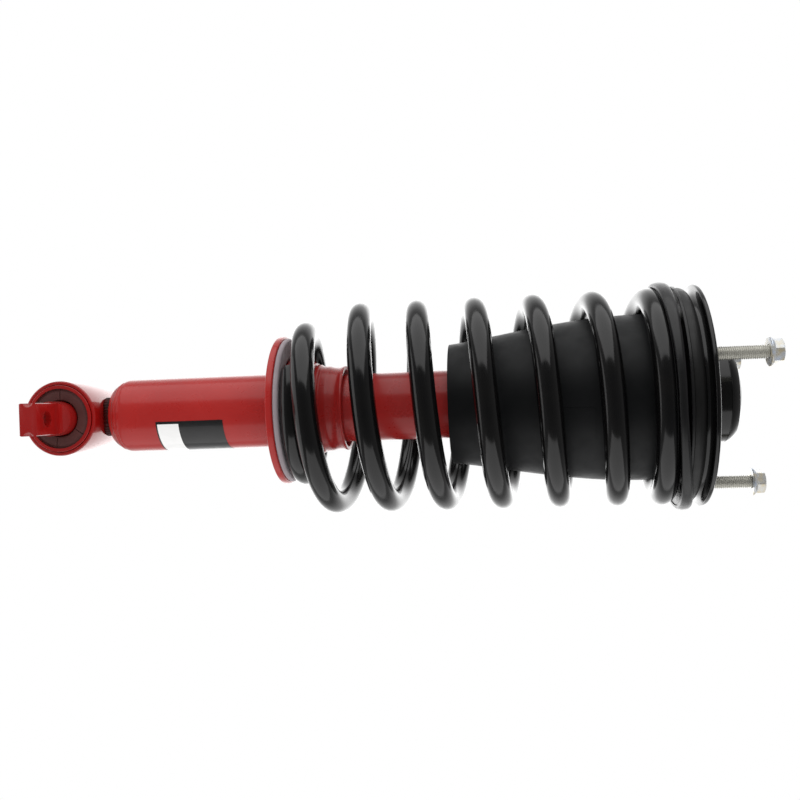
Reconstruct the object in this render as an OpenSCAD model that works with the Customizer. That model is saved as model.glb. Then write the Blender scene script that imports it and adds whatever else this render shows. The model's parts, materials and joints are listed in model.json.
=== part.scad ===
// Coil-over strut assembly: a twin-tube damper with a cross-pin lower eye, a coil
// spring on a welded lower seat, and a rubber top mount with three studs.
// Millimetres. The origin is the centre of the lower eye. +Z runs up the strut to
// the top mount, and the cross pin lies along Y. Heights are measured from the eye.

/* [Cross pin] */
// Diameter of the round part of the pin
pin_d = 28; // [22:0.5:30]
// Length of the pin over both ends
pin_l = 162; // [140:1:200]
// Thickness of the flat ends
pin_flat_t = 14; // [10:0.5:16]
// Width of the flat ends
pin_flat_w = 25.4; // [20:0.2:28]
// Length of each flat end, measured to the start of its fillet
pin_flat_l = 33; // [28:1:40]
// Radius of the fillet from a flat to the round part
pin_fillet_r = 8; // [4:1:10]
// Diameter of the bolt hole in each flat end
pin_hole_d = 12.5; // [10:0.5:14]
// Distance between the two bolt holes
pin_hole_spacing = 128; // [120:1:140]
// Radius of the forging notch in the edges of each end face
pin_notch_r = 3.5; // [2:0.5:5]
// Length of that notch along the pin
pin_notch_l = 4; // [2:0.5:6]

/* [Lower eye] */
// Outer diameter of the eye
eye_d = 61.4; // [56:0.2:74]
// Wall of the eye
eye_wall = 3.2; // [2.5:0.1:4.5]
// Length of the eye along the pin
eye_l = 62; // [50:1:76]
// Wall of the bush's pressed sleeve
bush_sleeve_wall = 2.9; // [2:0.1:4]
// How far the sleeve stands proud of the eye at each end
bush_sleeve_proud = 0.6; // [0.2:0.1:2]
// Depth of the rubber below the sleeve's end
bush_recess = 1.4; // [0.5:0.1:3]
// Width of the open mouth round the pin in the rubber's face
bush_mouth_w = 1.3; // [0.5:0.1:2]
// Depth of that mouth
bush_mouth_depth = 3; // [1:0.5:6]
// Radial running clearance of the pin in the rubber
pin_clear = 0.05; // [0.02:0.01:0.1]

/* [Damper tube] */
// Outer diameter of the reserve tube
tube_d = 60; // [54:1:72]
// Wall of the reserve tube
tube_wall = 2.5; // [2:0.1:3.5]
// Outer diameter of the tube above the spring seat
neck_d = 55; // [50:1:58]
// Height where the tube starts to narrow
neck_z = 196; // [190:1:200]
// Height over which the tube narrows
neck_run = 12; // [6:1:16]
// Height of the closed top end of the tube
tube_top_z = 333; // [325:1:345]
// Gap between the eye and the base cap
base_gap = 6.3; // [4:0.1:12]
// Height of the base cap
base_h = 19; // [14:0.5:25]
// Height of the rounded corner of the base cap
base_corner_h = 12; // [6:0.5:13]
// Width of the rounded corner of the base cap
base_corner_w = 3; // [1:0.5:5]
// Floor thickness of the base cap
base_floor = 5; // [3:0.5:8]
// Diameter of the weld between the eye and the cap
weld_d = 33; // [28:1:46]
// Inner diameter of the pressure tube
bore_d = 36; // [32:1:40]
// Wall of the pressure tube
pressure_wall = 2; // [1.5:0.1:2.5]

/* [Valves and guide] */
// Height of the foot valve
foot_valve_h = 14; // [10:1:20]
// Depth of the foot valve's spigot in the pressure tube
foot_spigot_h = 6; // [4:1:10]
// Height of the rod guide
guide_h = 14; // [10:1:20]
// Depth of the rod guide's spigot in the pressure tube
guide_spigot_h = 6; // [4:1:10]
// Height of the rod seal
seal_h = 5; // [3:0.5:8]
// Thickness of the rolled-over tube end
closure_t = 2.5; // [2:0.1:4]
// Height of the striker cap on the tube
striker_h = 15; // [10:1:20]
// Thickness of the striker cap
striker_t = 2; // [1.5:0.1:3]
// Radial running clearance of the rod in its guide and seal
rod_clear = 0.05; // [0.02:0.01:0.1]
// Radial running clearance of the piston ring in the bore
ring_clear = 0.05; // [0.02:0.01:0.1]

/* [Rod and piston] */
// Diameter of the piston rod
rod_d = 20; // [18:0.5:22]
// Diameter of the rod's threaded top
rod_top_d = 14; // [12:0.5:16]
// Diameter of the rod's spigot for the piston
rod_spigot_d = 12; // [10:0.5:14]
// Height of the piston
piston_h = 13.5; // [10:0.5:18]
// Radial gap of the piston in the bore
piston_gap = 0.6; // [0.4:0.1:1]
// Height of the piston ring
ring_h = 8; // [5:0.5:9]
// Radial thickness of the piston ring
ring_t = 1.8; // [1.2:0.1:2.5]
// Thickness of the valve discs on each side of the piston
disc_t = 2; // [1:0.5:3]
// Diameter of the valve discs
disc_d = 26; // [22:1:29]
// Height of the piston nut
piston_nut_h = 9; // [7:0.5:12]
// Width across the flats of the piston nut
piston_nut_af = 19; // [17:1:22]
// Height of the rebound stop ring
rebound_h = 5; // [3:0.5:8]
// Diameter of the rebound stop ring
rebound_d = 29; // [25:0.5:31]
// Gap left between the rebound stop and the guide at full length
stop_gap = 0.5; // [0.3:0.1:1]

/* [Lower spring seat] */
// Height of the underside of the seat
seat_z = 180.3; // [170:0.1:190]
// Diameter of the seat
seat_d = 121; // [110:1:130]
// Thickness of the seat's rim
seat_t = 5.7; // [4:0.1:7]
// Outer diameter of the seat's drawn neck at its foot
seat_neck_d = 84; // [78:1:86]
// Outer diameter of the drawn neck at its top
seat_neck_top_d = 77.5; // [76:0.5:80]
// Height of the drawn neck above the rim
seat_neck_h = 25; // [18:1:30]
// Outer diameter of the retaining collar at its foot
collar_d = 73; // [70:0.5:75]
// Outer diameter of the collar at its waist
collar_waist_d = 67; // [65:0.5:69]
// Height of the collar above the drawn neck
collar_h = 24; // [18:1:30]
// Height of the flared lip of the collar
collar_lip_h = 5; // [3:0.5:8]
// How far the lip flares out
collar_flare = 1.2; // [0.5:0.1:2]
// Thickness of the lower isolator
low_iso_t = 4; // [3:0.5:6]
// How far the lower isolator stops short of the seat's rim
low_iso_inset = 1.2; // [0.5:0.1:3]

/* [Coil spring] */
// Diameter of the spring wire
wire_d = 18.5; // [16:0.5:20]
// Mean diameter of the working coils
coil_d = 153.4; // [150:0.1:154]
// Mean diameter of the closed lower coil
coil_start_d = 106; // [104:1:112]
// Number of coils, from end to end
coils = 7.7; // [7:0.05:8]
// Angle where the wire starts on the lower seat
coil_start_a = 55; // [0:5:355]
// Turn after which the lower coil starts to open
coil_close_a = 180; // [120:10:240]
// Turn after which it has opened to the full diameter
coil_open_a = 480; // [440:10:700]
// Turn that lies flat on the lower seat
dead_low_a = 250; // [180:10:300]
// Turn that lies flat under the upper seat
dead_high_a = 35; // [30:1:200]
// How far the coils lean to one side, as if the lean went on growing to the last coil
coil_lean = 5.4; // [0:0.1:6]
// Gap between the wire and the rubber that it rests on
seat_gap = 0.3; // [0.3:0.05:0.5]

/* [Top mount] */
// Height of the top face of the mount plate: the strut's length to its mounting face
top_z = 513.8; // [505:0.1:525]
// Diameter of the mount plate
plate_d = 174; // [172:1:200]
// Thickness of the mount plate
plate_t = 3; // [2.5:0.1:4]
// Height of the plate's rolled rim
rim_h = 8.6; // [7:0.1:8.7]
// How far the rim flares out
rim_flare = 4; // [2:0.1:4.5]
// Wall of the rolled rim
rim_wall = 3.5; // [2.5:0.1:5]
// Outer diameter of the raised housing in the plate
housing_d = 76; // [70:1:82]
// Wall of the raised housing
housing_wall = 3; // [2:0.1:4]
// Height of the raised housing above the plate
housing_h = 18.2; // [16:0.2:26]
// Height of the dome cap above the housing
dome_h = 15.6; // [11:0.2:20]
// Thickness of the rubber pad under the plate
pad_t = 9.8; // [9:0.1:14]
// Inner diameter of that pad
pad_inner_d = 80; // [78:1:90]
// Outer diameter of that pad
pad_outer_d = 114; // [106:1:116]
// Diameter of the upper spring seat
upper_seat_d = 170; // [168:1:171]
// Thickness of the upper spring seat
upper_seat_t = 3; // [2:0.1:4]
// Height of the upper seat's wall above its web
upper_wall_h = 4; // [2:0.5:6]
// Depth of the upper seat's skirt below its web
upper_skirt_h = 2.2; // [1.5:0.1:4]
// Diameter of the hole in the upper spring seat
upper_seat_hole_d = 68; // [66:1:74]

/* [Upper isolator] */
// Thickness of the upper isolator over the spring
up_iso_t = 4.5; // [3:0.5:7]
// Outer diameter of its lip
lip_d = 179; // [176:1:182]
// Depth of the lip below the seat plane of the spring
lip_h = 9; // [6:0.5:12]
// Clearance between the spring and the lip, and between rubber and seat
rubber_clear = 0.3; // [0.2:0.1:0.5]

/* [Dust boot] */
// Outer diameter of the boot at its open mouth
boot_mouth_d = 96; // [92:1:104]
// Outer diameter of the boot at its top
boot_top_d = 131; // [124:1:132]
// Length of the boot
boot_l = 178; // [165:1:184]
// Length over which the boot widens
boot_taper_l = 148; // [130:1:150]
// Wall of the boot
boot_wall = 3; // [2:0.1:4]
// Inner diameter of the boot's clamped flange
boot_flange_d = 88; // [80:1:96]
// Thickness of that flange
boot_flange_t = 3.5; // [2:0.1:4]

/* [Rod mounting] */
// Diameter of the lower mount washer
low_washer_d = 56; // [40:1:62]
// Thickness of the mount washers
washer_t = 4; // [3:0.5:5]
// Depth of the mount's rubber below the plate's underside
bush_drop = 15.8; // [15:0.1:17]
// Height of the mount's inner sleeve
sleeve_h = 33; // [30:0.5:36]
// Outer diameter of the mount's inner sleeve
sleeve_d = 24; // [21:1:28]
// Gap between the rubber's ends and the washers
snub_gap = 2; // [1:0.5:3]
// Diameter of the mount rubber below the plate
snubber_d = 60; // [50:1:64]
// Diameter of the upper mount washer
top_washer_d = 46; // [36:1:56]
// Height of the rod nut
rod_nut_h = 9; // [7:0.5:11]
// Width across the flats of the rod nut
rod_nut_af = 21; // [19:0.5:24]
// Length of the bump stop
bump_l = 41; // [34:1:45]
// Diameter of the bump stop at its widest
bump_d = 50; // [40:1:60]
// Number of bulges on the bump stop
bump_bulges = 3; // [2:1:4]

/* [Studs and nuts] */
// Diameter of the circle through the studs
stud_circle_d = 138.6; // [136:0.1:142]
// Angle from the single stud to each stud of the pair
stud_a = 115; // [100:1:130]
// Diameter of a stud
stud_d = 10; // [8:1:12]
// Length of a stud from the plate to its nut
stud_grip = 38.3; // [30:0.1:60]
// Diameter of a stud's head
stud_head_d = 18; // [14:0.5:20]
// Thickness of a stud's head
stud_head_t = 3.5; // [2:0.1:4]
// Height of a nut
nut_h = 9.5; // [8:0.5:14]
// Width of a nut across its flats
nut_af = 16; // [13:1:18]
// Diameter of a nut's flange
nut_flange_d = 21.9; // [19:0.1:26]
// Thickness of a nut's flange
nut_flange_t = 2.6; // [1.5:0.1:4]

/* [Label] */
// Height of the label's lower edge
label_z = 81; // [75:1:90]
// Length of the label along the tube
label_l = 56; // [40:1:80]
// Direction where the label starts
label_a = 281; // [0:1:360]
// Turn that the label covers
label_turn = 92; // [40:1:160]
// Thickness of the label
label_t = 0.3; // [0.1:0.1:0.6]

/* [Fits] */
// Gap between parts that only sit beside each other
fit_gap = 0.1; // [0.05:0.05:0.2]

/* [Hidden] */

eps = 0.01;
big = 300;

eye_bore_r = eye_d / 2 - eye_wall;
sleeve_bore_r = eye_bore_r - bush_sleeve_wall;
bush_half_l = eye_l / 2 + bush_sleeve_proud;
rubber_half_l = bush_half_l - bush_recess;
flat_y = pin_l / 2 - pin_flat_l;

tube_r = tube_d / 2;
neck_r = neck_d / 2;
bore_r = bore_d / 2;
pressure_r = bore_r + pressure_wall;
base_z = eye_d / 2 + base_gap;
base_top_z = base_z + base_h;
cavity_z = base_z + base_floor;
neck_top_z = neck_z + neck_run;
seal_top_z = tube_top_z - closure_t;
guide_top_z = seal_top_z - seal_h;
guide_z = guide_top_z - guide_h;
pressure_z = cavity_z + foot_valve_h - foot_spigot_h;
pressure_top_z = guide_z + guide_spigot_h;
striker_top_z = tube_top_z + striker_t;

rod_r = rod_d / 2;
rebound_top_z = guide_z - stop_gap;
rod_step_z = rebound_top_z - rebound_h - 1;
disc_top_z = rod_step_z;
piston_top_z = disc_top_z - disc_t;
piston_z = piston_top_z - piston_h;
nut_top_z = piston_z - disc_t;
rod_end_z = nut_top_z - piston_nut_h - 1;

seat_top_z = seat_z + seat_t;
seat_neck_top_z = seat_top_z + seat_neck_h;
seat_neck_wall = 3;
collar_z = seat_neck_top_z;
collar_top_z = collar_z + collar_h;
low_iso_top_z = seat_top_z + low_iso_t;

plate_z = top_z - plate_t;
pad_z = plate_z - pad_t;
web_z = pad_z - upper_seat_t;
spring_plane_z = web_z - up_iso_t;
coil_r = coil_d / 2;
wire_r = wire_d / 2;
coil_low_z = low_iso_top_z + seat_gap + wire_r;
coil_high_z = spring_plane_z - seat_gap - wire_r;
lip_inner_r = coil_r + wire_r + rubber_clear;
upper_seat_r = upper_seat_d / 2;
boot_top_r = boot_top_d / 2;
boot_mouth_r = boot_mouth_d / 2;
boot_z = web_z - boot_l;
housing_r = housing_d / 2;
housing_bore_r = housing_r - housing_wall;
housing_top_z = top_z + housing_h;
sleeve_z = plate_z - bush_drop - snub_gap;
sleeve_top_z = sleeve_z + sleeve_h;
rod_shoulder_z = sleeve_z - washer_t;
rod_nut_z = sleeve_top_z + washer_t - 1;
rod_top_z = rod_nut_z + rod_nut_h + 1;
bump_z = rod_shoulder_z - bump_l;
stud_top_z = top_z + stud_grip;
stud_core_r = stud_d / 2 - 0.4;
stud_knurl_r = stud_d / 2 + 0.4;

// The spring's centreline, by the angle a turned from its lower end
coil_turn = 360 * coils;
ramp_low_a = 50;
ramp_high_a = 400;
function smooth(t) = t <= 0 ? 0 : t >= 1 ? 1 : t * t * (3 - 2 * t);
function ramp(x, w) = x <= 0 ? 0 : x < w ? x * x / (2 * w) : x - w / 2;
function rise(a) = ramp(a - dead_low_a, ramp_low_a) - ramp(a - (coil_turn - dead_high_a - ramp_high_a), ramp_high_a);
function lean(a) = coil_lean * pow(a / coil_turn, 2)
    * (1 - smooth((a - (coil_turn - dead_high_a - ramp_high_a)) / ramp_high_a)) * cos(a + coil_start_a);
function coil_z(a) = coil_low_z + (coil_high_z - coil_low_z) * rise(a) / rise(coil_turn) + lean(a);
function coil_rad(a) = coil_start_d / 2
    + (coil_r - coil_start_d / 2) * smooth((a - coil_close_a) / (coil_open_a - coil_close_a));
function coil_point(a) = let (t = a + coil_start_a + 180) [coil_rad(a) * cos(t), coil_rad(a) * sin(t), coil_z(a)];

function unit(v) = v / norm(v);
function ring_points(a, sides, r) =
    let (c = coil_point(a), ahead = unit(coil_point(a + 1) - coil_point(a - 1)),
        out = unit(cross(ahead, [0, 0, 1])), up = cross(out, ahead))
    [for (i = [0:sides - 1]) c + r * (cos(360 * i / sides) * out + sin(360 * i / sides) * up)];

// A closed tube of sides-cornered rings, swept along the centreline
module swept_wire(r, sides, step_a) {
    count = ceil(coil_turn / step_a);
    points = [for (k = [0:count]) each ring_points(coil_turn * k / count, sides, r)];
    walls = [for (k = [0:count - 1], i = [0:sides - 1])
        [k * sides + i, k * sides + (i + 1) % sides, (k + 1) * sides + (i + 1) % sides, (k + 1) * sides + i]];
    first = [for (i = [0:sides - 1]) sides - 1 - i];
    last = [for (i = [0:sides - 1]) count * sides + i];
    polyhedron(points = points, faces = concat(walls, [first, last]), convexity = 12);
}

// A plain ring about Z
module ring(outer_r, inner_r, z, h) {
    translate([0, 0, z]) difference() {
        cylinder(r = outer_r, h = h, $fn = 96);
        translate([0, 0, -1]) cylinder(r = inner_r, h = h + 2, $fn = 96);
    }
}

// A solid of revolution about Z, from [radius, height] points
module turned(points) {
    rotate_extrude($fn = 96) polygon(points);
}

// A bar along Y, centred on the eye
module y_bar(r, l) {
    rotate([90, 0, 0]) cylinder(r = r, h = l, center = true, $fn = 96);
}

module hexagon(af, h) {
    cylinder(r = af / sqrt(3), h = h, $fn = 6);
}

module cross_pin() {
    color("firebrick") difference() {
        y_bar(pin_d / 2, pin_l);
        for (side = [-1, 1], face = [-1, 1]) {
            translate([0, side * (flat_y + big / 2), face * (pin_flat_t / 2 + big / 2)])
                cube(big, center = true);
            translate([0, side * flat_y, face * (pin_flat_t / 2 + pin_fillet_r)])
                rotate([0, 90, 0]) cylinder(r = pin_fillet_r, h = big, center = true, $fn = 64);
            translate([face * (pin_flat_w / 2 + big / 2), side * (flat_y + big / 2), 0])
                cube(big, center = true);
            translate([face * (pin_flat_w / 2 + pin_notch_r / 2), side * pin_l / 2, 0])
                y_bar(pin_notch_r, 2 * pin_notch_l);
        }
        for (side = [-1, 1])
            translate([0, side * pin_hole_spacing / 2, 0])
                cylinder(d = pin_hole_d, h = big, center = true, $fn = 64);
    }
}

module bush_rubber() {
    mouth_r = pin_d / 2 + pin_clear;
    color("dimgray") rotate([90, 0, 0]) turned([
        [mouth_r, -rubber_half_l + bush_mouth_depth], [mouth_r + bush_mouth_w, -rubber_half_l],
        [sleeve_bore_r, -rubber_half_l], [sleeve_bore_r, rubber_half_l],
        [mouth_r + bush_mouth_w, rubber_half_l], [mouth_r, rubber_half_l - bush_mouth_depth]]);
}

module bush_sleeve() {
    color("firebrick") rotate([90, 0, 0]) ring(eye_bore_r, sleeve_bore_r, -bush_half_l, 2 * bush_half_l);
}

module eye_ring() {
    edge = 1.2;
    color("firebrick") rotate([90, 0, 0]) turned([
        [eye_bore_r, -eye_l / 2], [eye_d / 2 - edge, -eye_l / 2], [eye_d / 2, -eye_l / 2 + edge],
        [eye_d / 2, eye_l / 2 - edge], [eye_d / 2 - edge, eye_l / 2], [eye_bore_r, eye_l / 2]]);
}

module eye_weld() {
    color("firebrick") difference() {
        cylinder(r = weld_d / 2, h = base_z, $fn = 64);
        y_bar(eye_d / 2, big);
    }
}

module base_cap() {
    r = tube_r;
    shoulder_z = base_z + base_corner_h;
    corner = [for (a = [-90:15:0]) [r - base_corner_w + base_corner_w * cos(a),
        shoulder_z + base_corner_h * sin(a)]];
    color("firebrick") turned(concat([[0, base_z]], corner, [[r, base_top_z],
        [r - tube_wall, base_top_z], [r - tube_wall, cavity_z], [0, cavity_z]]));
}

module reserve_tube() {
    color("firebrick") turned([
        [tube_r - tube_wall, base_top_z], [tube_r, base_top_z], [tube_r, neck_z],
        [neck_r, neck_top_z], [neck_r, tube_top_z], [rod_r + 1, tube_top_z], [rod_r + 1, seal_top_z],
        [neck_r - tube_wall, seal_top_z], [neck_r - tube_wall, neck_top_z], [tube_r - tube_wall, neck_z]]);
}

module pressure_tube() {
    color("silver") ring(pressure_r, bore_r, pressure_z, pressure_top_z - pressure_z);
}

module foot_valve() {
    floor_z = cavity_z;
    color("darkgray") difference() {
        union() {
            translate([0, 0, floor_z]) cylinder(r = tube_r - tube_wall - 1, h = foot_valve_h - foot_spigot_h, $fn = 96);
            translate([0, 0, floor_z]) cylinder(r = bore_r, h = foot_valve_h, $fn = 96);
        }
        for (i = [0:5]) rotate([0, 0, 60 * i])
            translate([bore_r * 0.6, 0, floor_z - 1]) cylinder(r = 1.8, h = foot_valve_h + 2, $fn = 24);
    }
}

module rod_guide() {
    color("silver") difference() {
        union() {
            translate([0, 0, guide_z]) cylinder(r = bore_r, h = guide_h, $fn = 96);
            translate([0, 0, pressure_top_z])
                cylinder(r = neck_r - tube_wall, h = guide_top_z - pressure_top_z, $fn = 96);
        }
        translate([0, 0, guide_z - 1]) cylinder(r = rod_r + rod_clear, h = guide_h + 2, $fn = 96);
    }
}

module rod_seal() {
    color("black") ring(neck_r - tube_wall, rod_r + rod_clear, guide_top_z, seal_h);
}

module striker_cap() {
    outer_r = neck_r + striker_t;
    skirt_z = striker_top_z - striker_h;
    color("dimgray") turned([[neck_r, skirt_z], [outer_r, skirt_z], [outer_r, striker_top_z],
        [rod_r + 1.5, striker_top_z], [rod_r + 1.5, tube_top_z], [neck_r, tube_top_z]]);
}

module lower_spring_seat() {
    foot_r = seat_neck_d / 2;
    top_r = seat_neck_top_d / 2;
    color("firebrick") turned([
        [tube_r, seat_z], [seat_d / 2 - 1.5, seat_z], [seat_d / 2, seat_z + 1.5],
        [seat_d / 2, seat_top_z - 1.5], [seat_d / 2 - 1.5, seat_top_z], [foot_r, seat_top_z],
        [top_r, seat_neck_top_z - 3], [top_r - 1, seat_neck_top_z],
        [top_r - seat_neck_wall, seat_neck_top_z], [top_r - seat_neck_wall, seat_neck_top_z - 4],
        [foot_r - seat_neck_wall - 2, seat_z + 4], [tube_r, seat_z + 4]]);
}

module seat_collar() {
    foot_r = collar_d / 2;
    waist_r = collar_waist_d / 2;
    bore = neck_r + 3;
    waist_z = collar_z + (collar_h - collar_lip_h) * 0.8;
    lip_z = collar_top_z - collar_lip_h;
    color("firebrick") turned([
        [neck_r, collar_z - 3], [foot_r - 1, collar_z - 3], [foot_r - 1, collar_z],
        [foot_r, collar_z + 2], [waist_r, waist_z], [waist_r, lip_z],
        [waist_r + collar_flare, collar_top_z - 1], [waist_r + collar_flare - 1, collar_top_z],
        [bore, collar_top_z], [bore, waist_z], [neck_r, waist_z - 3]]);
}

module lower_isolator() {
    outer_r = seat_d / 2 - low_iso_inset;
    inner_r = seat_neck_d / 2 + fit_gap;
    color("rosybrown") turned([
        [inner_r, seat_top_z], [outer_r, seat_top_z], [outer_r, low_iso_top_z - 2],
        [outer_r - 2, low_iso_top_z], [inner_r, low_iso_top_z]]);
}

module label() {
    color("black") translate([0, 0, label_z]) rotate([0, 0, label_a])
        rotate_extrude(angle = label_turn, $fn = 96)
            translate([tube_r, 0]) square([label_t, label_l]);
}

module piston_rod() {
    color("silver") turned([
        [0, rod_end_z], [rod_spigot_d / 2, rod_end_z], [rod_spigot_d / 2, rod_step_z], [rod_r, rod_step_z],
        [rod_r, rod_shoulder_z], [rod_top_d / 2, rod_shoulder_z], [rod_top_d / 2, rod_top_z - 1],
        [rod_top_d / 2 - 1, rod_top_z], [0, rod_top_z]]);
}

module piston() {
    r = bore_r - piston_gap;
    groove_r = bore_r - ring_clear - ring_t;
    mid_z = piston_z + piston_h / 2;
    color("darkgray") difference() {
        translate([0, 0, piston_z]) cylinder(r = r, h = piston_h, $fn = 96);
        translate([0, 0, piston_z - 1]) cylinder(r = rod_spigot_d / 2, h = piston_h + 2, $fn = 64);
        ring(r + 1, groove_r, mid_z - ring_h / 2 - fit_gap, ring_h + 2 * fit_gap);
        for (i = [0:7]) rotate([0, 0, 45 * i])
            translate([(rod_spigot_d / 2 + groove_r) / 2, 0, piston_z - 1]) cylinder(r = 1.6, h = piston_h + 2, $fn = 24);
    }
}

module piston_ring() {
    outer_r = bore_r - ring_clear;
    color("black") ring(outer_r, outer_r - ring_t, piston_z + (piston_h - ring_h) / 2, ring_h);
}

module valve_discs() {
    color("silver") for (z = [piston_top_z, nut_top_z]) ring(disc_d / 2, rod_spigot_d / 2, z, disc_t);
}

module piston_nut() {
    color("gray") difference() {
        translate([0, 0, nut_top_z - piston_nut_h]) hexagon(piston_nut_af, piston_nut_h);
        translate([0, 0, rod_end_z]) cylinder(r = rod_spigot_d / 2, h = piston_nut_h + 2, $fn = 64);
    }
}

module rebound_stop() {
    color("gray") ring(rebound_d / 2, rod_r, rebound_top_z - rebound_h, rebound_h);
}

module bump_stop() {
    r = bump_d / 2;
    waist = 4;
    bulge_h = bump_l / bump_bulges;
    outer = [for (i = [0:bump_bulges - 1], a = [-75:25:75])
        [r - waist + waist * cos(a) - 2 * (bump_bulges - 1 - i),
            bump_z + bulge_h * (i + 0.5) + bulge_h / 2 * sin(a) / sin(75)]];
    color("khaki") turned(concat([[rod_r, bump_z]], outer, [[rod_r, rod_shoulder_z]]));
}

module dust_boot() {
    widen = boot_top_r - boot_mouth_r;
    outer = [for (t = [0:0.1:1]) [boot_mouth_r + widen * sin(90 * pow(t, 1.15)), boot_z + boot_taper_l * t]];
    inner = [for (i = [len(outer) - 1:-1:0]) [outer[i][0] - boot_wall, outer[i][1]]];
    flange_z = web_z - boot_flange_t;
    color("dimgray") turned(concat(outer, [[boot_top_r, web_z], [boot_flange_d / 2, web_z],
        [boot_flange_d / 2, flange_z], [boot_top_r - boot_wall, flange_z]], inner));
}

module coil_spring() {
    color("black") swept_wire(wire_r, 12, 15);
}

module upper_isolator() {
    inner_r = boot_top_r + rubber_clear;
    skirt_r = upper_seat_r - upper_seat_t - fit_gap;
    skirt_z = web_z - upper_skirt_h - fit_gap;
    color("dimgray") turned([
        [inner_r, spring_plane_z], [lip_inner_r, spring_plane_z], [lip_inner_r, spring_plane_z - lip_h],
        [lip_d / 2 - 1, spring_plane_z - lip_h], [lip_d / 2, spring_plane_z - lip_h + 1],
        [lip_d / 2, skirt_z - 1], [lip_d / 2 - 1, skirt_z], [skirt_r, skirt_z], [skirt_r, web_z],
        [inner_r, web_z]]);
}

module upper_spring_seat() {
    wall_top_z = pad_z + upper_wall_h;
    color("dimgray") turned([
        [upper_seat_hole_d / 2, web_z], [upper_seat_r - upper_seat_t, web_z],
        [upper_seat_r - upper_seat_t, web_z - upper_skirt_h], [upper_seat_r, web_z - upper_skirt_h],
        [upper_seat_r, pad_z], [upper_seat_r - 1, wall_top_z], [upper_seat_r - 1 - upper_seat_t, wall_top_z],
        [upper_seat_r - 1 - upper_seat_t, pad_z], [upper_seat_hole_d / 2, pad_z]]);
}

module mount_pad() {
    color("black") ring(pad_outer_d / 2, pad_inner_d / 2, pad_z, pad_t);
}

module at_studs() {
    for (a = [-stud_a, 0, stud_a]) rotate([0, 0, a])
        translate([stud_circle_d / 2, 0, 0]) children();
}

module mount_plate() {
    r = plate_d / 2;
    neck = r - rim_flare;
    rim_z = top_z - rim_h;
    color("black") difference() {
        turned([
            [housing_bore_r, plate_z], [neck - rim_wall, plate_z], [neck - rim_wall, rim_z],
            [neck, rim_z], [neck + rim_flare * 0.2, rim_z + 1.2], [r - 0.5, rim_z + 3], [r, rim_z + 3.8],
            [r, top_z - 1.5], [r - 1.5, top_z],
            [housing_r, top_z], [housing_r, housing_top_z], [housing_bore_r, housing_top_z]]);
        at_studs() translate([0, 0, plate_z - 1]) cylinder(r = stud_knurl_r + fit_gap / 2, h = plate_t + 2, $fn = 48);
    }
}

module mount_rubber() {
    low_z = plate_z - bush_drop;
    high_z = sleeve_top_z - snub_gap;
    bore = sleeve_d / 2;
    color("dimgray") turned([
        [bore, low_z], [snubber_d / 2 - 2, low_z], [snubber_d / 2, low_z + 2], [snubber_d / 2, plate_z],
        [housing_bore_r, plate_z + 2], [housing_bore_r, high_z - 3], [housing_bore_r - 3, high_z], [bore, high_z]]);
}

module mount_sleeve() {
    color("silver") ring(sleeve_d / 2, rod_top_d / 2 + fit_gap, sleeve_z, sleeve_h);
}

module lower_washer() {
    color("gray") ring(low_washer_d / 2, rod_top_d / 2 + fit_gap, rod_shoulder_z, washer_t);
}

module upper_washer() {
    color("gray") ring(top_washer_d / 2, rod_top_d / 2 + fit_gap, sleeve_top_z, washer_t - 1);
}

module rod_nut() {
    color("silver") difference() {
        translate([0, 0, rod_nut_z]) hexagon(rod_nut_af, rod_nut_h);
        translate([0, 0, rod_nut_z - 1]) cylinder(r = rod_top_d / 2 + fit_gap, h = rod_nut_h + 2, $fn = 64);
    }
}

module dome_cap() {
    wall = 1.5;
    // Steep shoulder, then a low cone: shares of the radius and of the height
    outline = [[1, 0], [0.95, 0.26], [0.86, 0.48], [0.59, 0.74], [0.22, 0.94], [0, 1]];
    outer = [for (p = outline) [housing_r * p[0], housing_top_z + dome_h * p[1]]];
    inner = [for (i = [len(outline) - 1:-1:0])
        [(housing_r - wall) * outline[i][0], housing_top_z + (dome_h - wall) * outline[i][1]]];
    color("black") turned(concat(outer, inner));
}

module mount_studs() {
    color("silver") at_studs() {
        translate([0, 0, plate_z - stud_head_t]) cylinder(d = stud_head_d, h = stud_head_t, $fn = 48);
        translate([0, 0, plate_z - eps]) cylinder(r = stud_knurl_r, h = plate_t + eps, $fn = 48);
        translate([0, 0, top_z - eps]) cylinder(r = stud_d / 2, h = stud_grip + eps, $fn = 48);
        translate([0, 0, stud_top_z - eps]) cylinder(r = stud_core_r, h = nut_h - 1, $fn = 48);
    }
}

module flange_nuts() {
    color("lightsteelblue") at_studs() translate([0, 0, stud_top_z]) difference() {
        union() {
            cylinder(d = nut_flange_d, h = nut_flange_t, $fn = 48);
            hexagon(nut_af, nut_h);
        }
        translate([0, 0, -1]) cylinder(r = stud_core_r + fit_gap / 2, h = nut_h + 2, $fn = 48);
    }
}

cross_pin();
bush_rubber();
bush_sleeve();
eye_ring();
eye_weld();
base_cap();
reserve_tube();
pressure_tube();
foot_valve();
rod_guide();
rod_seal();
striker_cap();
lower_spring_seat();
seat_collar();
lower_isolator();
label();
piston_rod();
piston();
piston_ring();
valve_discs();
piston_nut();
rebound_stop();
bump_stop();
dust_boot();
coil_spring();
upper_isolator();
upper_spring_seat();
mount_pad();
mount_plate();
mount_rubber();
mount_sleeve();
lower_washer();
upper_washer();
rod_nut();
dome_cap();
mount_studs();
flange_nuts();
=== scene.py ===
import json
import math

import bmesh
import bpy
from mathutils import Matrix, Vector


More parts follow.
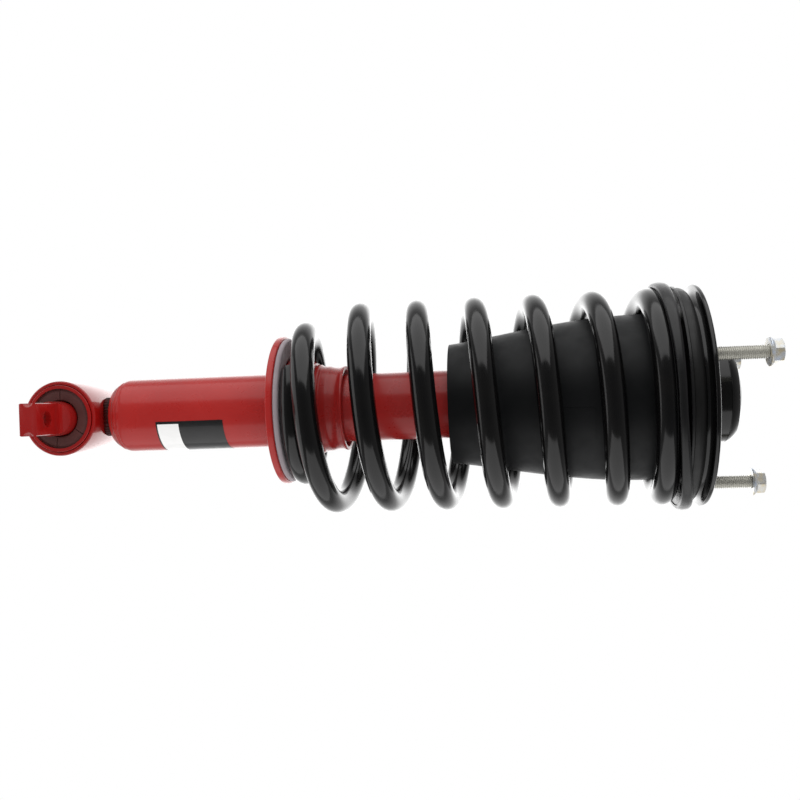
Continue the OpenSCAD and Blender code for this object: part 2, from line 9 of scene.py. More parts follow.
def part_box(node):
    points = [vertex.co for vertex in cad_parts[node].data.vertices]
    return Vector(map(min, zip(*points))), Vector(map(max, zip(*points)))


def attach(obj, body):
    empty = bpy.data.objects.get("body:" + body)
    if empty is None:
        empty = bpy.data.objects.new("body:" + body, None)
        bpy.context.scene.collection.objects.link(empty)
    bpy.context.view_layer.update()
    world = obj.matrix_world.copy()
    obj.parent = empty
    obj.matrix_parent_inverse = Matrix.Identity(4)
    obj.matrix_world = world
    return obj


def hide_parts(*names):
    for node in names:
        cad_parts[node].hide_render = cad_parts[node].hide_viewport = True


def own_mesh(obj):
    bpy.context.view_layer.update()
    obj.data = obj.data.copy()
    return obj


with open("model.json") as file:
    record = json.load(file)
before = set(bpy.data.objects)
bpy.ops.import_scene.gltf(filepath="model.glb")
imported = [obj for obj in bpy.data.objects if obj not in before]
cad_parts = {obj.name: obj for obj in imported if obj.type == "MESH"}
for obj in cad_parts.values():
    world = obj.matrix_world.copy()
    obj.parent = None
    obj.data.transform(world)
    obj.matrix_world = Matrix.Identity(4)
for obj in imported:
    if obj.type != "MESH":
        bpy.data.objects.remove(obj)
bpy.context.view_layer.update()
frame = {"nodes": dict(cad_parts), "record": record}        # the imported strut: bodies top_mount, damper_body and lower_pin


# ---------------------------------------------------------------- cross pin
# The bar pin of the lower eye: forged steel, round in the bush, pressed flat and drilled at
# both ends for the control arm's bolts. It is painted with the damper in red gloss enamel.

def node_group(name, inputs, outputs):
    """An empty shader group with its sockets, and its input and output nodes."""
    tree = bpy.data.node_groups.new(name, "ShaderNodeTree")
    for label, kind, value in inputs:
        socket = tree.interface.new_socket(name=label, in_out="INPUT", socket_type=kind)
        if value is not None:
            socket.default_value = value
    for label, kind in outputs:
        tree.interface.new_socket(name=label, in_out="OUTPUT", socket_type=kind)
    return tree, tree.nodes.new("NodeGroupInput"), tree.nodes.new("NodeGroupOutput")


# Soft patches, as in a coat that is a little thicker here and there
uneven, given, result = node_group(
    "uneven_coat", [("Vector", "NodeSocketVector", None), ("Scale", "NodeSocketFloat", 40.0)],
    [("Mask", "NodeSocketFloat")])
patches = uneven.nodes.new("ShaderNodeTexNoise")
patches.inputs["Detail"].default_value = 3.0
patches.inputs["Roughness"].default_value = 0.55
spread = uneven.nodes.new("ShaderNodeMapRange")
spread.inputs["From Min"].default_value = 0.3
spread.inputs["From Max"].default_value = 0.7
uneven.links.new(given.outputs["Vector"], patches.inputs["Vector"])
uneven.links.new(given.outputs["Scale"], patches.inputs["Scale"])
uneven.links.new(patches.outputs["Fac"], spread.inputs["Value"])
uneven.links.new(spread.outputs["Result"], result.inputs["Mask"])

# Fine relief: orange peel on paint, moulding grain on rubber, brushing on steel
relief, given, result = node_group(
    "surface_relief",
    [("Vector", "NodeSocketVector", None), ("Scale", "NodeSocketFloat", 900.0),
     ("Pitted", "NodeSocketFloat", 0.0)],
    [("Height", "NodeSocketFloat")])
peel = relief.nodes.new("ShaderNodeTexNoise")
peel.inputs["Detail"].default_value = 2.0
pits = relief.nodes.new("ShaderNodeTexVoronoi")
blend = relief.nodes.new("ShaderNodeMix")
relief.links.new(given.outputs["Vector"], peel.inputs["Vector"])
relief.links.new(given.outputs["Scale"], peel.inputs["Scale"])
relief.links.new(given.outputs["Vector"], pits.inputs["Vector"])
relief.links.new(given.outputs["Scale"], pits.inputs["Scale"])
relief.links.new(given.outputs["Pitted"], blend.inputs["Factor"])
relief.links.new(peel.outputs["Fac"], blend.inputs["A"])
relief.links.new(pits.outputs["Distance"], blend.inputs["B"])
relief.links.new(blend.outputs["Result"], result.inputs["Height"])


def coating(name, colour, tint, rough, grain, patch=45.0, metal=0.0, coat=0.0, coat_rough=0.04,
            pitted=0.0, specular=0.5, sheen=0.0):
    """A finish whose colour goes from colour to tint, and roughness over rough, in soft patches.
    grain is the relief's scale and its depth in metres."""
    material = bpy.data.materials.new(name)
    material.use_nodes = True
    tree = material.node_tree
    shader = tree.nodes["Principled BSDF"]
    shader.inputs["Metallic"].default_value = metal
    shader.inputs["Coat Weight"].default_value = coat
    shader.inputs["Coat Roughness"].default_value = coat_rough
    shader.inputs["Specular IOR Level"].default_value = specular
    shader.inputs["Sheen Weight"].default_value = sheen
    where = tree.nodes.new("ShaderNodeTexCoord")
    tone = tree.nodes.new("ShaderNodeGroup")
    tone.node_tree = uneven
    tone.inputs["Scale"].default_value = patch
    gloss = tree.nodes.new("ShaderNodeGroup")
    gloss.node_tree = uneven
    gloss.inputs["Scale"].default_value = patch * 3.7
    skin = tree.nodes.new("ShaderNodeGroup")
    skin.node_tree = relief
    skin.inputs["Scale"].default_value = grain[0]
    skin.inputs["Pitted"].default_value = pitted
    for group in (tone, gloss, skin):
        tree.links.new(where.outputs["Object"], group.inputs["Vector"])
    mix = tree.nodes.new("ShaderNodeMix")
    mix.name = "tone"
    mix.data_type = "RGBA"
    mix.inputs["A"].default_value = (*colour, 1)
    mix.inputs["B"].default_value = (*tint, 1)
    tree.links.new(tone.outputs["Mask"], mix.inputs["Factor"])
    tree.links.new(mix.outputs["Result"], shader.inputs["Base Color"])
    span = tree.nodes.new("ShaderNodeMapRange")
    span.name = "gloss"
    span.inputs["To Min"].default_value = rough[0]
    span.inputs["To Max"].default_value = rough[1]
    tree.links.new(gloss.outputs["Mask"], span.inputs["Value"])
    tree.links.new(span.outputs["Result"], shader.inputs["Roughness"])
    bump = tree.nodes.new("ShaderNodeBump")
    bump.name = "bump"
    bump.inputs["Strength"].default_value = 1.0
    bump.inputs["Distance"].default_value = grain[1]
    tree.links.new(skin.outputs["Height"], bump.inputs["Height"])
    tree.links.new(bump.outputs["Normal"], shader.inputs["Normal"])
    return material


def mounted(piece, material, body, slot, *nodes, sharp=35):
    """Gives a finished piece its material and its body, and hides the CAD nodes it stands for. slot is not
    used.
    """
    bpy.ops.object.select_all(action="DESELECT")
    piece.select_set(True)
    bpy.context.view_layer.objects.active = piece
    bpy.ops.object.transform_apply(location=True, rotation=True, scale=True)
    bpy.ops.object.shade_smooth_by_angle(angle=math.radians(sharp))
    piece.data.materials.clear()
    piece.data.materials.append(material)
    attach(piece, body)
    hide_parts(*nodes)
    return piece


def with_modifier(piece, kind, **settings):
    """Adds a modifier with these settings and applies it."""
    bpy.ops.object.select_all(action="DESELECT")
    piece.select_set(True)
    bpy.context.view_layer.objects.active = piece
    modifier = piece.modifiers.new(kind.lower(), kind)
    for key, value in settings.items():
        setattr(modifier, key, value)
    bpy.ops.object.modifier_apply(modifier=modifier.name)


def cut(piece, cutters, operation="DIFFERENCE"):
    """Joins the cutters into one tool and cuts the piece with it."""
    bpy.ops.object.select_all(action="DESELECT")
    for tool in cutters:
        tool.select_set(True)
    bpy.context.view_layer.objects.active = cutters[0]
    if len(cutters) > 1:
        bpy.ops.object.join()
    tool = cutters[0]
    with_modifier(piece, "BOOLEAN", object=tool, operation=operation, solver="EXACT")
    bpy.data.objects.remove(tool)


red_deep = coating("red_enamel_deep", (0.310, 0.0060, 0.0050), (0.270, 0.0045, 0.0040), (0.26, 0.32),
                   (700, 0.2e-5), patch=22.0, coat=1.0, coat_rough=0.06, specular=0.30)
red_paint = coating("red_enamel", (0.385, 0.0150, 0.0125), (0.335, 0.0110, 0.0095), (0.26, 0.32),
                    (700, 0.2e-5), patch=22.0, coat=0.15, coat_rough=0.06, specular=0.38)

pin_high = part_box("cross_pin")[1]
pin_r = pin_high.x
pin_half = pin_high.y
flat_half = 0.007           # half the thickness of the flat ends
flat_width = 0.0127         # half their width
flat_fillet = 0.008         # radius where each flat runs out into the bar
flat_long = 0.033
flat_start = pin_half - flat_long - flat_fillet
hole_y = 0.064
hole_r = 0.00625
shoe_long, shoe_tall = 0.06, 0.03       # the block that presses each flat
trim_wide, trim_tall = 0.02, 0.0135     # the block that trims each side
dent_r = 0.0042             # small dents in the side edges of each end
bpy.ops.object.select_all(action="DESELECT")
bpy.ops.mesh.primitive_cylinder_add(vertices=128, radius=pin_r, depth=2 * pin_half,
                                    rotation=(math.pi / 2, 0, 0))
cross_pin = bpy.context.object
cross_pin.name = "cross_pin_bar"
bpy.ops.object.transform_apply(rotation=True)
tools = []
for side in (-1, 1):
    for face in (-1, 1):
        bpy.ops.mesh.primitive_cube_add(
            size=1, location=(0, side * (flat_start + shoe_long / 2), face * (flat_half + shoe_tall / 2)),
            scale=(shoe_long, shoe_long, shoe_tall))
        shoe = bpy.context.object
        bpy.ops.object.transform_apply(location=True, rotation=True, scale=True)
        bpy.ops.object.mode_set(mode="EDIT")
        bpy.ops.mesh.select_all(action="DESELECT")
        edit = bmesh.from_edit_mesh(shoe.data)
        for edge in edit.edges:
            middle = (edge.verts[0].co + edge.verts[1].co) / 2
            at_start = abs(middle.y - side * flat_start) < 1e-5
            edge.select_set(at_start and abs(middle.z - face * flat_half) < 1e-5)
        bmesh.update_edit_mesh(shoe.data)
        bpy.ops.mesh.bevel(offset=flat_fillet, segments=12, affect="EDGES")
        bpy.ops.object.mode_set(mode="OBJECT")
        tools.append(shoe)
        bpy.ops.mesh.primitive_cube_add(
            size=1, location=(face * (flat_width + trim_wide / 2),
                              side * (flat_start + flat_fillet + shoe_long / 2), 0),
            scale=(trim_wide, shoe_long, trim_tall))
        tools.append(bpy.context.object)
    bpy.ops.mesh.primitive_cylinder_add(vertices=64, radius=hole_r, depth=0.05,
                                        location=(0, side * hole_y, 0))
    tools.append(bpy.context.object)
for tool in tools:
    cut(cross_pin, [tool])
for side in (-1, 1):
    for face in (-1, 1):
        bpy.ops.mesh.primitive_uv_sphere_add(
            segments=32, ring_count=16, radius=dent_r,
            location=(face * (flat_width + 0.0010), side * (pin_half + 0.0004), 0))
        cut(cross_pin, [bpy.context.object])
with_modifier(cross_pin, "BEVEL", width=0.0007, segments=3, limit_method="ANGLE",
              angle_limit=math.radians(40))
mounted(cross_pin, red_deep, "lower_pin", "red_paint", "cross_pin")


# ---------------------------------------------------------------- bush
# The bush is a rubber ring moulded between a pressed steel sleeve and the pin. Its face is
# recessed, opens in a small mouth round the pin, and has thin radial slits.

def outline_mesh(name, outline, axis):
    """A chain of vertices along an outline of (radius, height, corner) in millimetres."""
    def place(r, h):
        return Vector((r, 0, h) if axis == "Z" else (r, h, 0)) / 1000
    bpy.ops.object.select_all(action="DESELECT")
    bpy.ops.mesh.primitive_plane_add(size=0.001)
    piece = bpy.context.object
    piece.name = name
    bpy.ops.object.mode_set(mode="EDIT")
    bpy.ops.mesh.merge(type="CENTER")
    points = [place(p[0], p[1]) for p in outline]
    bpy.ops.transform.translate(value=points[0])
    for here, there in zip(points, points[1:]):
        bpy.ops.mesh.extrude_vertices_move(TRANSFORM_OT_translate={"value": there - here})
    for point, entry in zip(points, outline):
        if len(entry) > 2 and entry[2] > 0:
            edit = bmesh.from_edit_mesh(piece.data)
            nearest = min(edit.verts, key=lambda v: (v.co - point).length)
            for v in edit.verts:
                v.select_set(v == nearest)
            edit.select_flush_mode()
            bmesh.update_edit_mesh(piece.data)
            bpy.ops.mesh.bevel(offset=entry[2] / 1000, segments=5, affect="VERTICES")
    return piece


def turned(name, outline, axis="Z", steps=160, closed=True):
    """A piece of revolution: the outline spun once about the axis. A closed outline returns to its start."""
    if closed:
        outline = outline + [outline[0][:2]]
    piece = outline_mesh(name, outline, axis)
    bpy.ops.mesh.select_all(action="SELECT")
    bpy.ops.mesh.spin(steps=steps, angle=2 * math.pi, center=(0, 0, 0),
                      axis=(0, 0, 1) if axis == "Z" else (0, 1, 0))
    bpy.ops.mesh.select_all(action="SELECT")
    bpy.ops.mesh.remove_doubles(threshold=2e-6)
    bpy.ops.mesh.normals_make_consistent(inside=False)
    bpy.ops.object.mode_set(mode="OBJECT")
    return piece


bush_rubber = coating("bush_rubber", (0.070, 0.018, 0.016), (0.100, 0.030, 0.027), (0.5, 0.68), (2600, 5e-5),
                      specular=0.35)
rubber_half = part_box("bush_rubber")[1].y * 1000
sleeve_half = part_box("bush_sleeve")[1].y * 1000
sleeve_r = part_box("bush_sleeve")[1].x * 1000
bore_r = sleeve_r - 2.9
mouth_r = pin_r * 1000 + 0.05
rubber = turned("bush_rubber_ring", [
    (mouth_r, -rubber_half + 3, 0.6), (mouth_r + 1.3, -rubber_half, 0.5),
    (bore_r - 3.2, -rubber_half - 0.25, 1.2), (bore_r - 1.0, -rubber_half + 0.6, 0.5),
    (bore_r, -rubber_half + 0.8), (bore_r, rubber_half - 0.8), (bore_r - 1.0, rubber_half - 0.6, 0.5),
    (bore_r - 3.2, rubber_half + 0.25, 1.2),
    (mouth_r + 1.3, rubber_half, 0.5), (mouth_r, rubber_half - 3, 0.6)], axis="Y")
slit_turns = (2, 125, 189, 240, 305)    # degrees round the pin
slit_size = (0.0005, 0.004, 0.0078)     # width, depth and length
slit_r = (bore_r + mouth_r) / 2 / 1000 + 0.0008
for side in (-1, 1):
    for turn in slit_turns:
        angle = math.radians(turn)
        bpy.ops.object.select_all(action="DESELECT")
        bpy.ops.mesh.primitive_cube_add(
            size=1, location=(-slit_r * math.cos(angle), side * rubber_half / 1000, slit_r * math.sin(angle)),
            rotation=(0, math.pi / 2 + angle, 0), scale=slit_size)
        bpy.ops.object.transform_apply(location=True, rotation=True, scale=True)
        cut(rubber, [bpy.context.object])
mounted(rubber, bush_rubber, "damper_body", "bush_rubber", "bush_rubber")
sleeve = turned("bush_outer_sleeve", [
    (bore_r, -sleeve_half, 0.5), (sleeve_r - 0.15, -sleeve_half, 0.5), (sleeve_r - 0.15, sleeve_half, 0.5),
    (bore_r, sleeve_half, 0.5)], axis="Y")
mounted(sleeve, red_deep, "damper_body", "red_paint", "bush_sleeve")


# ---------------------------------------------------------------- lower eye
# A short length of thick steel tube. The bush is pressed into it, and its outer edges are
# rounded. It is welded to the damper's domed end.

eye_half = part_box("eye_ring")[1].y * 1000
eye_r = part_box("eye_ring")[1].x * 1000
eye = turned("lower_eye", [
    (sleeve_r + 0.1, -eye_half + 0.7, 0.3), (sleeve_r + 0.6, -eye_half, 0.4), (eye_r, -eye_half, 1.4),
    (eye_r, eye_half, 1.4), (sleeve_r + 0.6, eye_half, 0.4), (sleeve_r + 0.1, eye_half - 0.7, 0.3)], axis="Y")
mounted(eye, red_deep, "damper_body", "red_paint", "eye_ring")

# The weld is one bead round the foot of the damper, laid in overlapping ripples where the
# domed end sits on the barrel of the eye. Its near-black red colour is painted shade, for the deep gap it
# sits in.
weld_painted_shade = coating("weld_painted_shade", (0.060, 0.0035, 0.0030), (0.010, 0.0030, 0.0025), (0.32, 0.60),
                     (420, 1.5e-4), patch=160.0, specular=0.14)
weld_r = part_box("eye_weld")[1].x - 0.0006
bead_r = 0.0042             # the bead's own radius
bead_lift = 0.0030          # how far its middle stands off the eye
ripples = 34
ripple_depth = 0.13         # as a part of the bead's radius
bpy.ops.object.select_all(action="DESELECT")
bpy.ops.mesh.primitive_torus_add(major_radius=weld_r - bead_r, minor_radius=bead_r,
                                 major_segments=ripples * 8, minor_segments=24)
weld = bpy.context.object
weld.name = "eye_weld_bead"
for vertex in weld.data.vertices:
    turn = math.atan2(vertex.co.y, vertex.co.x)
    wave = abs(math.sin(turn * ripples / 2 + 0.9 * math.sin(3 * turn) + 0.5 * math.sin(7 * turn)))
    round_r = Vector((vertex.co.x, vertex.co.y)).length
    swell = 1 + ripple_depth * wave
    r = weld_r - bead_r + (round_r - (weld_r - bead_r)) * swell
    saddle = math.sqrt(max((eye_r / 1000) ** 2 - (r * math.cos(turn)) ** 2, 0))
    height = saddle + bead_lift + vertex.co.z * swell
    vertex.co = Vector((r * math.cos(turn), r * math.sin(turn), height))
mounted(weld, weld_painted_shade, "damper_body", "red_paint", "eye_weld", sharp=60)


# ---------------------------------------------------------------- damper tube
# The outer tube is drawn steel, closed below by a domed end that is welded in, and necked
# above the spring seat. It is painted in the same red enamel.

cap_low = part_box("base_cap")[0].z * 1000
cap_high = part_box("base_cap")[1].z * 1000
tube_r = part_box("reserve_tube")[1].x * 1000
tube_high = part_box("reserve_tube")[1].z * 1000
cap = turned("base_dome", [
    (0, cap_low), (tube_r - 9.5, cap_low, 2), (tube_r - 6, cap_low + 1.4, 1.5),
    (tube_r - 4, cap_low + 4, 1.5), (tube_r - 2.9, cap_low + 6.8, 0.4),
    (tube_r - 1.7, cap_low + 7.3, 0.6), (tube_r - 1.3, cap_low + 9, 0.6), (tube_r - 1.6, cap_low + 10.2, 0.3),
    (tube_r - 0.6, cap_low + 10.6, 0.5), (tube_r - 0.05, cap_low + 13, 1), (tube_r - 0.05, cap_high),
    (tube_r - 4.5, cap_high), (tube_r - 4.5, cap_low + 8), (tube_r - 8, cap_low + 5), (0, cap_low + 5)],
    closed=False)
mounted(cap, red_paint, "damper_body", "red_paint", "base_cap")

neck_r = 27.5
tube_wall = 2.5
neck_low, neck_high = 196, 208      # the tube narrows between these heights
rod_hole_r = 11
tube = turned("damper_tube", [
    (tube_r - tube_wall, cap_high), (tube_r - 0.05, cap_high), (tube_r - 0.05, neck_low, 4),
    (neck_r, neck_high, 4), (neck_r, tube_high, 1.6), (rod_hole_r, tube_high, 0.5),
    (rod_hole_r, tube_high - tube_wall), (neck_r - tube_wall, tube_high - tube_wall),
    (neck_r - tube_wall, neck_high, 3), (tube_r - tube_wall, neck_low, 3)])
mounted(tube, red_paint, "damper_body", "red_paint", "reserve_tube")


# ---------------------------------------------------------------- lower spring seat
# A pressed steel dish with a rounded rim and a drawn neck. The collar above it is a second
# pressing with a flared lip. Both are welded to the tube and painted with it.

seat_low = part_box("lower_spring_seat")[0].z * 1000
seat_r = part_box("lower_spring_seat")[1].x * 1000
seat_neck_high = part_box("lower_spring_seat")[1].z * 1000
seat_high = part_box("lower_isolator")[0].z * 1000
seat_bore = 35.75
collar_foot_r = 35.5
seat = turned("spring_seat_dish", [
    (tube_r + 0.1, seat_low + 0.6, 0.3), (tube_r + 1.5, seat_low, 0.6), (seat_r, seat_low, 1.6),
    (seat_r, seat_high, 1.6), (42, seat_high, 2.5), (38.75, seat_neck_high - 3, 2),
    (37.6, seat_neck_high, 0.6), (seat_bore, seat_neck_high), (seat_bore, seat_neck_high - 4),
    (37, seat_low + 4, 2), (tube_r + 0.1, seat_low + 4)])
mounted(seat, red_paint, "damper_body", "red_paint", "lower_spring_seat")

collar_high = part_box("seat_collar")[1].z * 1000
collar = turned("seat_retaining_collar", [
    (neck_r + 0.1, seat_neck_high - 2), (collar_foot_r, seat_neck_high - 2),
    (collar_foot_r, seat_neck_high + 0.3, 0.3),
    (36.5, seat_neck_high + 1, 0.6), (36.2, seat_neck_high + 4, 0.8), (34.9, seat_neck_high + 5.2, 0.6),
    (34.7, seat_neck_high + 11, 1), (33.5, collar_high - 9, 1.5), (33.3, collar_high - 5, 1.5),
    (34.6, collar_high - 1.2, 0.8), (34.2, collar_high, 0.5),
    (31.6, collar_high, 0.8), (30.6, collar_high - 5, 1), (neck_r + 0.1, collar_high - 9)])
mounted(collar, red_paint, "damper_body", "red_paint", "seat_collar")


# ---------------------------------------------------------------- lower isolator
# A grey-mauve rubber pad between the spring and its lower seat, moulded with a soft edge.

isolator_rubber = coating("isolator_rubber", (0.36, 0.31, 0.33), (0.29, 0.245, 0.265), (0.55, 0.75),
                          (1800, 5e-5), specular=0.35, sheen=0.2)
pad_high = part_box("lower_isolator")[1].z * 1000
pad_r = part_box("lower_isolator")[1].x * 1000
pad = turned("lower_isolator_pad", [
    (42.1, seat_high + 0.05), (pad_r - 0.8, seat_high + 0.05, 0.4), (pad_r, seat_high + 1.2, 0.8),
    (pad_r - 1.4, pad_high, 1.2), (44, pad_high, 1.2), (42.6, pad_high - 1, 0.5)])
mounted(pad, isolator_rubber, "damper_body", "isolator_rubber", "lower_isolator")


# ---------------------------------------------------------------- coil spring
# Cold-wound spring steel wire, 18.5 mm thick, with a closed smaller coil below and a nearly
# flat end above. The coils lean a little. It is powder-coated in gloss black.

black_gloss = coating("black_powder_coat", (0.0030, 0.0030, 0.0034), (0.0045, 0.0043, 0.0042), (0.13, 0.18),
                      (420, 0.8e-5), specular=0.55)
wire_r = 9.25
coil_mean = 76.7
coil_start_mean = 53
coil_start = 55
coil_turn = 360 * 7.7
coil_close, coil_open = 180, 480        # the coil widens between these angles
coil_lean = 5.4
dead_low, dead_high = 250, 35           # flat at the ends, in degrees of the wire's turn
ramp_low, ramp_high = 50, 400           # where the pitch grows from flat and returns to it
spring_low = pad_high + 0.3 + wire_r
spring_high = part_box("coil_spring")[1].z * 1000 - wire_r
last_ramp = coil_turn - dead_high - ramp_high


def smooth(t):
    t = min(max(t, 0), 1)
    return t * t * (3 - 2 * t)


def ramp(x, width):
    return 0 if x <= 0 else x * x / (2 * width) if x < width else x - width / 2


def rise(a):
    return ramp(a - dead_low, ramp_low) - ramp(a - last_ramp, ramp_high)


def coil_point(a):
    """The wire's centre, a degrees round from its lower end."""
    r = coil_start_mean + (coil_mean - coil_start_mean) * smooth((a - coil_close) / (coil_open - coil_close))
    lean = coil_lean * (a / coil_turn) ** 2 * (1 - smooth((a - last_ramp) / ramp_high))
    turn = math.radians(a + coil_start + 180)
    height = spring_low + (spring_high - spring_low) * rise(a) / rise(coil_turn)
    height += lean * math.cos(math.radians(a + coil_start))
    return Vector((r * math.cos(turn), r * math.sin(turn), height)) / 1000


bpy.ops.object.select_all(action="DESELECT")
bpy.ops.curve.primitive_nurbs_path_add()
wire = bpy.context.object
wire.name = "coil_spring_wire"
wire.data.splines.clear()
steps = int(coil_turn / 4)              # a point every four degrees
line = wire.data.splines.new("POLY")
line.points.add(steps)
for i, point in enumerate(line.points):
    point.co = (*coil_point(coil_turn * i / steps), 1)
wire.data.bevel_depth = wire_r / 1000
wire.data.bevel_resolution = 7
wire.data.use_fill_caps = True
wire.data.twist_mode = "Z_UP"
bpy.ops.object.convert(target="MESH")
wire = bpy.context.object
with_modifier(wire, "WELD", merge_threshold=1e-6)
with_modifier(wire, "BEVEL", width=0.0012, segments=3, limit_method="ANGLE", angle_limit=math.radians(60))
mounted(wire, black_gloss, "top_mount", "black_paint", "coil_spring")
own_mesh(wire)


# ---------------------------------------------------------------- dust boot
# A moulded rubber sleeve that hangs from the upper seat and covers the rod. It is matt
# black, with a plain trimmed rim and a raised blank panel.

boot_rubber = coating("boot_rubber", (0.0042, 0.0047, 0.0055), (0.0070, 0.0075, 0.0083), (0.42, 0.55),
                      (1500, 3e-5), patch=26.0, specular=0.26)
boot_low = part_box("dust_boot")[0].z * 1000
boot_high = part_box("dust_boot")[1].z * 1000
boot_wall = 3
boot_mouth = 48             # outer radius at the open lower end
boot_growth = 17.5          # how much wider it grows
boot_taper = 148            # over this height
boot_parts = 16
boot_hole_r = 44
boot_side = [(boot_mouth + boot_growth * math.sin(math.radians(90 * (i / boot_parts) ** 1.15)),
              boot_low + boot_taper * i / boot_parts) for i in range(boot_parts + 1)]
boot = turned("dust_boot_sleeve",
              [(boot_side[0][0], boot_side[0][1], 0.8)] + boot_side[1:] + [
                  (65.4, boot_high - 0.1, 1), (boot_hole_r, boot_high - 0.1), (boot_hole_r, boot_high - 3.5),
                  (62.5, boot_high - 3.5, 2)]
              + [(r - boot_wall, h) for r, h in reversed(boot_side[1:])]
              + [(boot_side[0][0] - boot_wall, boot_low, 0.6)])
mounted(boot, boot_rubber, "top_mount", "black_rubber", "dust_boot")


def patch(name, outline, end, turn, corner=0):
    """A curved plate: a closed outline swept through turn degrees about Z, ending at this direction."""
    piece = outline_mesh(name, outline + [outline[0]], "Z")
    bpy.ops.mesh.select_all(action="SELECT")
    bpy.ops.mesh.spin(steps=int(turn / 2) + 4, angle=math.radians(turn), center=(0, 0, 0), axis=(0, 0, 1))
    bpy.ops.mesh.select_all(action="SELECT")
    bpy.ops.mesh.remove_doubles(threshold=2e-6)
    bpy.ops.mesh.fill_holes(sides=8)
    bpy.ops.mesh.select_all(action="SELECT")
    bpy.ops.mesh.normals_make_consistent(inside=False)
    bpy.ops.object.mode_set(mode="OBJECT")
    piece.data.transform(Matrix.Rotation(math.radians(end), 4, "Z"))
    if corner:
        heights = [v.co.z for v in piece.data.vertices]
        lowest, highest = min(heights), max(heights)
        bpy.ops.object.mode_set(mode="EDIT")
        bpy.ops.mesh.select_all(action="DESELECT")
        edit = bmesh.from_edit_mesh(piece.data)
        for edge in edit.edges:
            one, two = edge.verts
            at_end = min(abs(one.co.z - lowest), abs(one.co.z - highest)) < 1e-5
            level = at_end and abs(one.co.z - two.co.z) < 1e-5
            through = abs(one.co.xy.length - two.co.xy.length) > 5e-5
            at = math.degrees(math.atan2(one.co.y, one.co.x))
            gap = min(abs((at - side + 180) % 360 - 180) for side in (end, end - turn))
            edge.select_set(level and through and gap < 0.2)
        bmesh.update_edit_mesh(piece.data)
        bpy.ops.mesh.bevel(offset=corner / 1000, segments=5, affect="EDGES")
        bpy.ops.object.mode_set(mode="OBJECT")
    return piece


panel = patch("boot_blank_panel", [(60.2, 405), (61.4, 405), (64.2, 429), (63.0, 429)], 300, 24, corner=1.5)
mounted(panel, boot_rubber, "top_mount", "black_rubber", "dust_boot")


# ---------------------------------------------------------------- upper isolator and seat
# The spring's last coil presses on a rubber ring with an outer lip. Above it is a pressed
# steel seat, coated in satin black, with its wall curled in towards the plate.

black_rubber = coating("black_rubber", (0.0050, 0.0050, 0.0055), (0.0080, 0.0080, 0.0085), (0.26, 0.36),
                       (1300, 2e-5), specular=0.45)
iso_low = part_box("upper_isolator")[0].z * 1000
iso_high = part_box("upper_isolator")[1].z * 1000
lip_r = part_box("upper_isolator")[1].x * 1000
seat_face = iso_low + 9
ring_in, ring_step, ring_out = 65.8, 81.9, 85.9
lip_in = 86.05
lip_tall = 10
upper_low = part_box("upper_spring_seat")[0].z * 1000
upper_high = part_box("upper_spring_seat")[1].z * 1000
upper_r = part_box("upper_spring_seat")[1].x * 1000
iso = turned("upper_isolator_ring", [
    (ring_in, seat_face, 0.5), (ring_out, seat_face, 0.6), (ring_out, upper_low - 0.1, 0.4),
    (ring_step, upper_low - 0.1), (ring_step, iso_high), (ring_in, iso_high)])
mounted(iso, black_rubber, "top_mount", "black_rubber", "upper_isolator")

# The outer lip follows the last coil, so its edges rise along one half of the ring. It is
# turned level, then moved to its foot and stretched to its width, both in millimetres.
lip = turned("upper_isolator_lip", [
    (lip_in, 0, 0.8), (lip_r - 1.2, 0, 1.0), (lip_r - 0.1, 3, 1.2), (lip_r - 0.1, 7, 1.2),
    (lip_r - 1.4, lip_tall, 1.2), (lip_in, lip_tall, 0.8)])
for vertex in lip.data.vertices:
    turn = math.degrees(math.atan2(-vertex.co.y, -vertex.co.x)) % 360
    entry, climb, drop = smooth(turn / 90), smooth((turn - 90) / 90), smooth((turn - 290) / 70)
    foot = iso_low - 4.5 * (1 - entry) + 8.4 * climb - 12.9 * drop
    width = 11 - 4.9 * entry + 3.5 * climb + 1.4 * drop
    vertex.co.z = (foot + vertex.co.z * 1000 * width / lip_tall) / 1000
mounted(lip, black_rubber, "top_mount", "black_rubber", "upper_isolator")

satin_black = coating("black_satin_steel", (0.0045, 0.0045, 0.0045), (0.0070, 0.0070, 0.0070), (0.34, 0.46),
                      (900, 1.5e-5), specular=0.4)
upper_bore = 34
upper_shoulder = 82
upper = turned("upper_seat_pressing", [
    (upper_bore, iso_high + 0.02), (upper_shoulder, iso_high + 0.02), (upper_shoulder, upper_low + 0.3),
    (upper_r - 0.3, upper_low, 0.5),
    (upper_r - 0.2, upper_low + 3, 1), (upper_r - 1.1, upper_high - 3, 1.2),
    (upper_r - 2.6, upper_high - 1, 0.9), (upper_r - 4.4, upper_high - 0.1, 0.3),
    (upper_r - 4.8, upper_high - 0.4),
    (upper_r - 4.8, iso_high + 3), (upper_bore, iso_high + 3)])
mounted(upper, satin_black, "top_mount", "black_paint", "upper_spring_seat")


# ---------------------------------------------------------------- mount plate
# The plate is stamped from thick sheet, with a rolled rim, a raised housing for the rod's
# rubber and three holes for the studs. The cap that closes the housing is pressed on.

def arc(centre, radii, start, end, count):
    """Points on an elliptical arc, in degrees, as (radius, height) in millimetres."""
    angles = [math.radians(start + (end - start) * i / count) for i in range(count + 1)]
    return [(centre[0] + radii[0] * math.cos(a), centre[1] + radii[1] * math.sin(a)) for a in angles]


